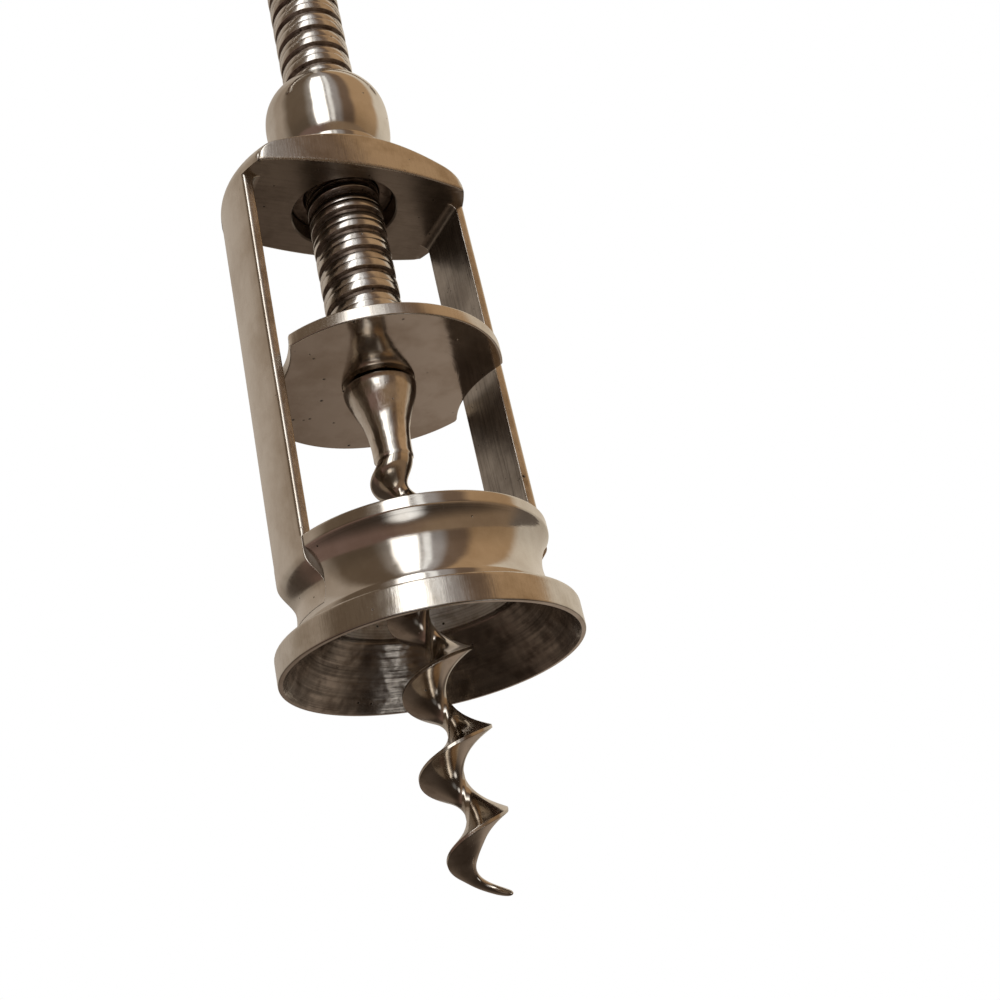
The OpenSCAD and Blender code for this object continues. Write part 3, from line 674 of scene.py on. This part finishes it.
def spindleSurface(form):
    low, high = nodeSpan("threaded_spindle")
    bottom, top, radius, columns = low[2], high[2], high[0], form["columns"]
    pitch, depth, side, soft = form["pitch"], form["depth"], form["sideW"], form["edgeSoft"]
    ridge, fine, root, into = (form[key] for key in ("crestRidge", "ridgeHalf", "rootSoft",
                                                     "floorSoft"))
    # across one pitch (place, depth): crest with a faint ridge in its middle, rounded edge, side,
    # floor, side
    crestW = pitch - form["floorW"] - 2 * side
    middle = 0.5 * crestW
    place, sunk = np.array([
        (0, soft), (soft, ridge), (0.3 * crestW, 0.4 * ridge), (middle - fine, 0),
        (middle, form["ridgeDip"]), (middle + fine, 0), (0.7 * crestW, 0.4 * ridge),
        (crestW - soft, ridge), (crestW, soft), (crestW + side - root, depth - root),
        (crestW + side + into, depth), (pitch - side - into, depth),
        (pitch - side + root, depth - root)]).T
    lines, turns = len(place), int((hubZ - bottom) / pitch) + form["spareTurns"]
    row = np.arange(lines * turns)
    offset = place[row % lines] + pitch * (row // lines) - 2 * pitch
    share = np.linspace(0, 1, columns + 1)
    first = bottom + form["start"] - pitch * (form["phaseDeg"] / 360 - 1)
    z = first + offset[:, None] + pitch * share
    fromEnd = np.minimum(z - bottom - form["start"], hubZ - form["start"] - z)
    r = radius - sunk[row % lines][:, None] * ease(fromEnd / (pitch / 2))
    z = np.clip(z, bottom + form["endSoft"], hubZ)
    thread = setRound(r, z, 2 * np.pi * share)
    # lower end face with the bore of the worm's tenon, without the point that its round would put
    # before the first corner, and upper end with the tenon that the hub takes
    endOutline = softOutline([(radius, bottom + form["endSoft"], 0),
                              (radius, bottom, form["endSoft"]), (form["boreR"], bottom, 0)])
    tenonOutline = np.array([[radius, hubZ], [form["tenonR"], hubZ], [form["tenonR"], top],
                             [0, top]])
    points = [thread, revolve(np.delete(endOutline, 1, axis=0), columns),
              revolve(tenonOutline, columns)]
    faces = [gridFaces(*grid.shape[:2], closedColumns=grid is not thread) for grid in points]
    firstPoint = np.cumsum([0, *[grid.size // 3 for grid in points]])
    # finish of each face: crests and ends, or grooves in painted shade
    groove = np.repeat(place[row[:-1] % lines] >= crestW, columns)
    kind = np.r_[groove, np.zeros(sum(map(len, faces[1:])), bool)].astype(int)
    return (np.vstack([grid.reshape(-1, 3) for grid in points]),
            np.vstack([grid + start for grid, start in zip(faces, firstPoint)]), kind)


points, faces, kind = spindleSurface(threadForm)
makePiece("threaded_spindleLook", points, faces, [crestSteel, grooveSteel], "spindle",
          kind)


# worm: vase-shaped shank, then rings that turn as they go down; each ring is a round core with
# the blade on one side, whose height falls off as a power of the angle; the last rings are drawn
# to a small round point off the axis, and the whole worm has been bent a little off the axis, as
# the square of the depth

wormForm = {"pitch": 9.4, "length": 53.2, "cadLength": 54.6, "phaseDeg": 234, "coreR": 0.45,
            "bladeR": 4.6, "rimDeg": 3, "rootDeg": 165, "flank": 2.8, "edgeSoftDeg": 7,
            "edgeShare": 0.35, "growL": 5, "narrowL": 13, "tipL": 6.2, "tipR": 3.2,
            "pointR": 0.52, "pointStretch": 1.9, "noseL": 0.7, "lean": (0.44, -0.6),
            "neckR": 2.3, "neckL": 0.25, "shankR": 2.45, "shankL": 10.35, "shankPower": 1.5,
            "headR": 4.7, "headSoft": 0.6, "headEdge": 0.2, "tenonR": 2.5, "tenonSoft": 0.3,
            "columns": 120, "ringsPerTurn": 72, "noseRings": 17, "shankRings": 40}


def wormSurface(form):
    low, high = nodeSpan("worm")
    neckZ = low[2] + form["cadLength"]
    headZ = neckZ + form["shankL"]
    headR, headSoft, tenonR = form["headR"], form["headSoft"], form["tenonR"]
    length, tipR, pointR, noseL = (form[key] for key in ("length", "tipR", "pointR", "noseL"))
    # columns lie close together at the blade's edge: the angle is a mix of t and t cubed
    t = np.linspace(-1, 1, form["columns"], endpoint=False)
    angle = np.pi * (form["edgeShare"] * t + (1 - form["edgeShare"]) * t ** 3)
    # shank, from the tenon's top down; the vase narrows as half a cosine wave
    top = softOutline([(0, high[2], 0), (tenonR, high[2], form["tenonSoft"]), (tenonR, headZ, 0),
                       (headR - headSoft, headZ, form["headEdge"]),
                       (headR, headZ - headSoft, form["headEdge"])])
    share = np.linspace(1 - outlineFlat * headSoft / form["shankL"], 0, form["shankRings"])
    swing = (1 - np.cos(np.pi * share ** form["shankPower"])) / 2
    vase = form["shankR"] + (headR - form["shankR"]) * swing
    shank = np.vstack([top[:-1], np.stack([vase, neckZ + form["shankL"] * share], -1)])
    # depth of each ring below the neck, closer together towards the end of the nose
    nose = length - noseL * (1 - np.sin(np.linspace(0, np.pi / 2, form["noseRings"])))
    rings = int(length / form["pitch"] * form["ringsPerTurn"])
    depth = np.r_[np.linspace(form["neckL"], length - noseL, rings), nose[1:]][:, None]
    grown = ease(depth / form["growL"])
    narrowed = ease((depth - length + form["narrowL"]) / form["narrowL"])
    drawn = ease((depth - length + form["tipL"]) / form["tipL"])
    core = form["neckR"] + (form["coreR"] - form["neckR"]) * grown
    out = (form["neckR"] + (form["bladeR"] - form["neckR"]) * grown
           + (tipR - form["bladeR"]) * narrowed)
    # the blade's edge is rounded by adding its angle and a small angle as the sides of a right
    # triangle
    away = np.hypot(np.degrees(angle), form["edgeSoftDeg"]) - form["edgeSoftDeg"]
    off = np.clip((away - form["rimDeg"]) / form["rootDeg"], 0, 1)
    r = core + (out - core) * (1 - off) ** form["flank"]
    point = pointR * circleAt(1, np.maximum(depth - length + noseL, 0) / noseL)
    x = (1 - drawn) * r * np.cos(angle) + drawn * (tipR - pointR + point * np.cos(angle))
    y = (1 - drawn) * r * np.sin(angle) + drawn * form["pointStretch"] * point * np.sin(angle)
    turn = np.radians(form["phaseDeg"] - 360 * depth / form["pitch"])
    bent = (depth / length) ** 2
    blade = np.stack([x * np.cos(turn) - y * np.sin(turn) + form["lean"][0] * bent,
                      x * np.sin(turn) + y * np.cos(turn) + form["lean"][1] * bent,
                      neckZ - depth + 0 * x], -1)
    shank = setRound(shank[:, :1], shank[:, 1:], angle + math.radians(form["phaseDeg"]))
    # finish of each row of faces: blade, or shank
    kind = np.repeat([1, 0], [len(shank), len(blade) - 1])
    return np.concatenate([shank, blade]), kind


points, kind = wormSurface(wormForm)
makeGridPiece("wormLook", points, [wormSteel, shankSteel], "spindle", kind)


# handle: hub with a ball that the crossbar passes through, pinned to the spindle, and a ball knob
# at each end

handleForm = {"footR": 6.5, "footH": 2.4, "footSoft": (0.4, 0.5), "waistR": 5.7,
              "waistSoft": 0.35, "ballR": 8.5, "ballRows": 48, "barHalf": 39.0, "barSoft": 0.4,
              "stubR": 2.5, "stubSoft": 0.3, "knobR": 6.8, "knobGap": 0.05, "knobIn": 0.3,
              "knobRows": 44, "pinDome": 0.25, "domeShare": 0.7, "pinSoft": 0.1, "domeSoft": 0.2,
              "columns": 96, "pinColumns": 48}
alongX, alongY = [2, 0, 1], [0, 2, 1]   # orders of the axes that lay a turned piece along X or Y

barLow, barHigh = nodeSpan("handle_bar")
barZ, barR = (barLow[2] + barHigh[2]) / 2, (barHigh[2] - barLow[2]) / 2
footR, waistR, ballR = handleForm["footR"], handleForm["waistR"], handleForm["ballR"]
footTop = hubZ + handleForm["footH"]
waistDeg = -math.degrees(math.acos(waistR / ballR))
hubOutline = softOutline([
    (0, hubZ, 0), (footR, hubZ, handleForm["footSoft"][0]),
    (footR, footTop, handleForm["footSoft"][1]), (waistR, footTop, handleForm["waistSoft"]),
    *arcCorners(barZ, ballR, waistDeg, 90, handleForm["ballRows"])])
makeGridPiece("handle_hubLook", revolve(hubOutline), [buffedNickel], "spindle")

pinLow, pinHigh = nodeSpan("hub_pin")
pinR, pinHalf, pinZ = (pinHigh[2] - pinLow[2]) / 2, pinHigh[1], (pinLow[2] + pinHigh[2]) / 2
dome, share = handleForm["pinDome"], handleForm["domeShare"]
pinOutline = softOutline(bothEnds([
    (pinR, pinHalf, handleForm["pinSoft"]),
    (share * pinR, pinHalf + share * dome, handleForm["domeSoft"]), (0, pinHalf + dome, 0)]))
points = revolve(pinOutline, handleForm["pinColumns"])[..., alongY] + [0, 0, pinZ]
makeGridPiece("hub_pinLook", points, [crestSteel], "spindle")

barHalf, stubR = handleForm["barHalf"], handleForm["stubR"]
barOutline = softOutline(bothEnds([
    (barR, barHalf, handleForm["barSoft"]), (stubR, barHalf, 0),
    (stubR, barHigh[0], handleForm["stubSoft"]), (0, barHigh[0], 0)]))
points = revolve(barOutline, handleForm["columns"])[..., alongX] + [0, 0, barZ]
makeGridPiece("handle_barLook", points, [handledNickel], "spindle")

knobR, knobFace = handleForm["knobR"], barHalf + handleForm["knobGap"]
knobX = barHalf + math.sqrt(knobR ** 2 - barR ** 2)
knobDeg = -math.degrees(math.acos(barR / knobR))
knobOutline = softOutline([
    (0, knobFace, 0), (barR - handleForm["knobIn"], knobFace, 0),
    *arcCorners(knobX, knobR, knobDeg, 90, handleForm["knobRows"])])
for side, node in ((-1, "knob_left"), (1, "knob_right")):
    points = revolve(knobOutline, handleForm["columns"])[..., alongX] * [side, 1, 1]
    makeGridPiece(node + "Look", points + [0, 0, barZ], [buffedNickel], "spindle")
print("pieces made")


# stage: pale floor, white surround, soft light, and a room that only the metal sees

stageForm = {"floorZ": -52, "floorHalf": 1500, "roomR": 600, "roomZ": 45, "benchRise": 1,
             "cameraDeg": -117.6}


def addStage(name, points, faces, material):
    mesh = newMesh(name, points, faces, [material])
    mesh.shade_smooth()
    thing = linkObject(name, mesh)
    return thing


floorPaint = bpy.data.materials.new("floorPaper")
tree = emptyTree(floorPaint)
paper = addNode(tree, "ShaderNodeBsdfDiffuse", {"Color": linear("#EDEBE7"), "Roughness": 0.9})
addNode(tree, "ShaderNodeOutputMaterial", {"Surface": paper.outputs[0]})
half, floorZ = stageForm["floorHalf"], stageForm["floorZ"]
floorPoints = np.array([[-half, -half, floorZ], [half, -half, floorZ], [half, half, floorZ],
                        [-half, half, floorZ]])
addStage("floor", floorPoints, np.array([[0, 1, 2, 3]]), floorPaint)


# surface that glows in a colour of its own at each point and shows only in the metal
def addGlow(name, points, faces, colours):
    glow = bpy.data.materials.new(name)
    tree = emptyTree(glow)
    tone = addNode(tree, "ShaderNodeAttribute", attribute_name="tone").outputs["Color"]
    light = addNode(tree, "ShaderNodeEmission", {"Color": tone, "Strength": 1.0})
    addNode(tree, "ShaderNodeOutputMaterial", {"Surface": light.outputs[0]})
    card = addStage(name, points, faces, glow)
    tones = card.data.color_attributes.new("tone", "FLOAT_COLOR", "POINT")
    flat = np.ones((colours.size // 3, 4), np.float32)
    flat[:, :3] = colours.reshape(-1, 3)
    tones.data.foreach_set("color", flat.ravel())
    card.visible_camera = card.visible_diffuse = False
    card.visible_shadow = card.visible_transmission = False


# room that the metal mirrors: plain walls, each from one angle to another right of the camera,
# running into each other between and darker towards the floor, and a window in front with a bar
# and a dimmer right-hand pane
roomWalls = {"backWall": (-180, -110, "#B8ADA1"), "leftWall": (-100, -82, "#A6988A"),
             "woodLeft": (-66, -32, "#695A4B"), "frameLeft": (-24, -18, "#8F867E"),
             "frameRight": (18, 26, "#A09A98"), "woodRight": (34, 48, "#735F4F"),
             "tanWall": (56, 96, "#B19270"), "creamWall": (106, 165, "#DACEBD")}
wallLight = {"low": 0.78, "more": 0.27, "riseDeg": (-5, 25)}
windowForm = {"fromDeg": -18, "toDeg": 18, "barDeg": (7, 9), "topDeg": 68, "softDeg": 2,
              "topSoftDeg": 4, "glow": 2.4, "rightGlow": 1.1}
# a column for each degree round, and a row for every second degree up to the window's top
az = np.linspace(-180, 180, 361)
el = np.r_[np.linspace(-12, 72, 43), 80, 90][:, None]
wallDeg = [deg for wall in roomWalls.values() for deg in wall[:2]]
wallTone = np.repeat([linear(wall[2])[:3] for wall in roomWalls.values()], 2, axis=0)
tones = np.stack([np.interp(az, wallDeg, wallTone[:, k], period=360) for k in range(3)], -1)
bright = wallLight["low"] + wallLight["more"] * easeOver(el, wallLight["riseDeg"])
colours = tones * bright[..., None]
for fromDeg, toDeg, glow in (
        (windowForm["fromDeg"], windowForm["barDeg"][0], windowForm["glow"]),
        (windowForm["barDeg"][1], windowForm["toDeg"], windowForm["rightGlow"])):
    inside = np.minimum(az - fromDeg, toDeg - az) / windowForm["softDeg"]
    below = (windowForm["topDeg"] - el) / windowForm["topSoftDeg"]
    pane = (ease(inside) * ease(below))[..., None]
    colours = colours + pane * (glow - colours)
turn, rise = np.radians(stageForm["cameraDeg"] + az), np.radians(el)
points = stageForm["roomR"] * setRound(np.cos(rise), np.sin(rise), turn)
addGlow("roomGlow", points + [0, 0, stageForm["roomZ"]],
        gridFaces(*points.shape[:2], closedColumns=False), colours)

# bench just above the floor, so that undersides mirror brown wood instead of the pale floor: dark
# on the camera's side, lighter behind and further off, with sheens of the window
benchTones = {"front": "#3A312A", "left": "#75675C", "right": "#A29386", "offLeft": "#79635A",
              "offRight": "#8A745E"}
# spans in mm over which the tones run into each other, and what the dim sides lose
benchForm = {"leftToRight": (-45, 45), "sides": (70, 110), "sideLoss": 0.6,
             "offLeftToRight": (-90, 90), "frontToOff": (60, 170), "nearToBack": (-10, 60),
             "sheenSoft": 1.5}
benchSheens = [{"behind": -85, "right": 0, "reach": 30, "glow": 1.3},
               {"behind": -16, "right": 31, "reach": 11, "glow": 1.4},
               {"behind": -38, "right": -4, "reach": 16, "glow": 0.2}]
# rings 3 mm apart under the tool, and wider further off
reach = np.r_[np.linspace(0, 240, 81), 300, 450, 640]
points = revolve(sectionPoint(reach, floorZ + stageForm["benchRise"]), 180)
turn = math.radians(stageForm["cameraDeg"])
behind = -points[..., 0] * math.cos(turn) - points[..., 1] * math.sin(turn)
right = -points[..., 0] * math.sin(turn) + points[..., 1] * math.cos(turn)


def mixOver(one, other, value, span):   # tones that run from one to the other over a span
    return one + easeOver(value, benchForm[span])[..., None] * (other - one)


tone = {name: np.array(linear(code)[:3]) for name, code in benchTones.items()}
back = mixOver(tone["left"], tone["right"], right, "leftToRight")
sideDim = 1 - benchForm["sideLoss"] * easeOver(np.abs(right), benchForm["sides"])
off = mixOver(tone["offLeft"], tone["offRight"], right, "offLeftToRight")
near = mixOver(tone["front"], off, np.hypot(behind, right), "frontToOff")
colours = mixOver(near, back * sideDim[..., None], behind, "nearToBack")
for sheen in benchSheens:
    away = np.hypot(behind - sheen["behind"], right - sheen["right"]) / sheen["reach"]
    share = ease(benchForm["sheenSoft"] * (1 - away))[..., None]
    colours = colours + share * (sheen["glow"] - colours)
addGlow("benchGlow", points, gridFaces(*points.shape[:2]), colours)

# surround: white where it is seen or mirrored, a little less as the light on the floor
world = bpy.data.worlds.new("surround")
bpy.context.scene.world = world
tree = emptyTree(world)
path = addNode(tree, "ShaderNodeLightPath").outputs
seen = reckon(tree, "MAXIMUM", path["Is Camera Ray"], path["Is Glossy Ray"])
shown = reckon(tree, "MAXIMUM", seen, path["Is Transmission Ray"])
soft = addNode(tree, "ShaderNodeBackground", {"Color": linear("#F3F0EB"), "Strength": 0.75})
white = addNode(tree, "ShaderNodeBackground", {"Color": linear("#FFFFFF"), "Strength": 1.0})
either = addNode(tree, "ShaderNodeMixShader", {0: shown, 1: soft.outputs[0], 2: white.outputs[0]})
addNode(tree, "ShaderNodeOutputWorld", {"Surface": either.outputs[0]})

# lamp, turned to its aim: tilted from straight down by the angle to it, then swung round to it
lampForm = {"place": (-420, -260, 520), "aim": (0, 0, 50), "size": 420, "watts": 6.0}
lamp = bpy.data.lights.new("softLamp", "AREA")
lamp.size, lamp.energy = lampForm["size"] * mm, lampForm["watts"]
lampObject = linkObject("softLamp", lamp)
lampObject.location = np.array(lampForm["place"]) * mm
aim = np.array(lampForm["aim"]) - lampForm["place"]
lampObject.rotation_euler = (math.acos(-aim[2] / np.linalg.norm(aim)), 0,
                             math.atan2(aim[1], aim[0]) - math.pi / 2)
lampObject.visible_glossy = False


# camera: below the tool and to its left, looking up; fitted to the edges seen in the photograph
cameraForm = {"place": (-66.84, -127.66, -47.83), "turnDeg": (115.398, 11.928, -26.456),
              "lens": 47.668, "sensor": 36, "shift": (0.00397, -0.00383), "clipStart": 5}
camera = bpy.data.cameras.new("camera")
camera.lens, camera.sensor_width = cameraForm["lens"], cameraForm["sensor"]
camera.shift_x, camera.shift_y = cameraForm["shift"]
camera.clip_start = cameraForm["clipStart"] * mm
cameraObject = linkObject("camera", camera)
cameraObject.location = np.array(cameraForm["place"]) * mm
cameraObject.rotation_euler = [math.radians(turn) for turn in cameraForm["turnDeg"]]
bpy.context.scene.camera = cameraObject
bpy.context.scene.view_settings.view_transform = "Standard"
print("stage set")
